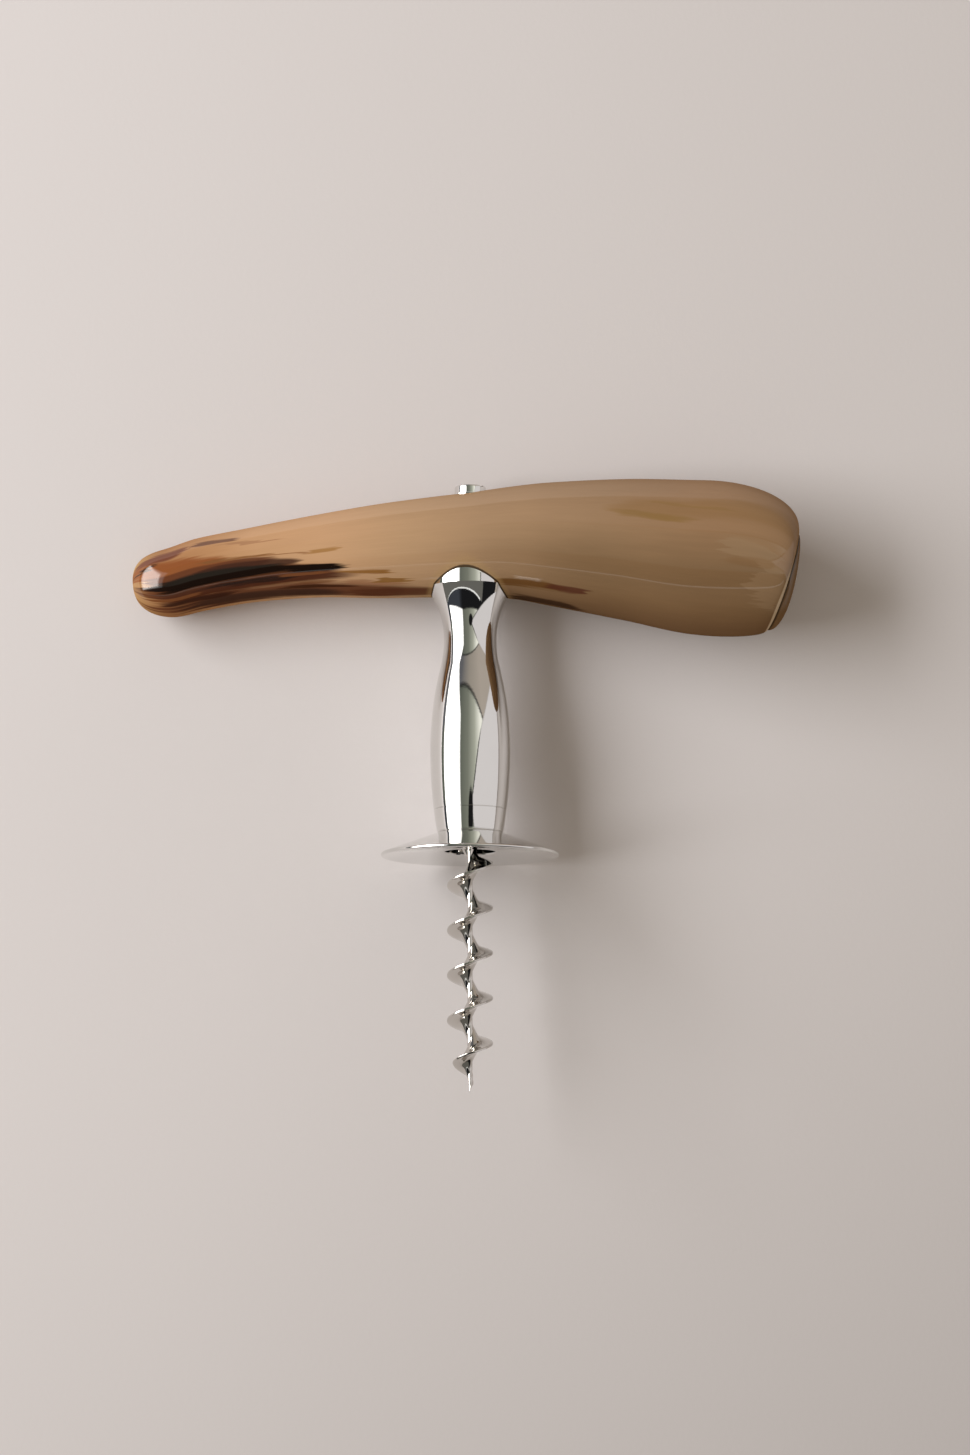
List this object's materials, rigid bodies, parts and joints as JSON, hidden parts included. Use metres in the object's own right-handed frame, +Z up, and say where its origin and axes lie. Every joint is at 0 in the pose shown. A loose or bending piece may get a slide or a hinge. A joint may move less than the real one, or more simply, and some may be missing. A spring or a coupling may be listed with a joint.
{
  "type": "t handle corkscrew",
  "caption": "Corkscrew with a horn T handle, a turned steel stem, a dished guard disc that seats on the bottle's mouth and an auger worm that is turned into the cork.",
  "frame": {"origin": "bottom centre of the box round the corkscrew as it lies at rest on a table", "axes": "+X along the handle towards its wide end, +Y from the worm towards the handle, +Z up from the table"},
  "size_m": [0.1472, 0.1338, 0.0388],
  "materials": {
    "horn_handle": "polished natural horn, tan with darker brown streaks",
    "horn_end_plate": "polished natural horn",
    "top_screw": "polished nickel-chrome plate on steel",
    "top_washer": "polished nickel-chrome plate on steel",
    "stem": "polished nickel-chrome plate on steel",
    "ferrule": "polished nickel-chrome plate on steel",
    "guard_disc": "polished nickel-chrome plate on steel",
    "worm": "polished nickel-chrome plate on steel"
  },
  "bodies": {
    "root": {"horn_handle": "horn_handle", "horn_end_plate": "horn_end_plate", "top_screw": "top_screw", "top_washer": "top_washer", "stem": "stem", "ferrule": "ferrule", "guard_disc": "guard_disc", "worm": "worm"}
  },
  "joints": []
}
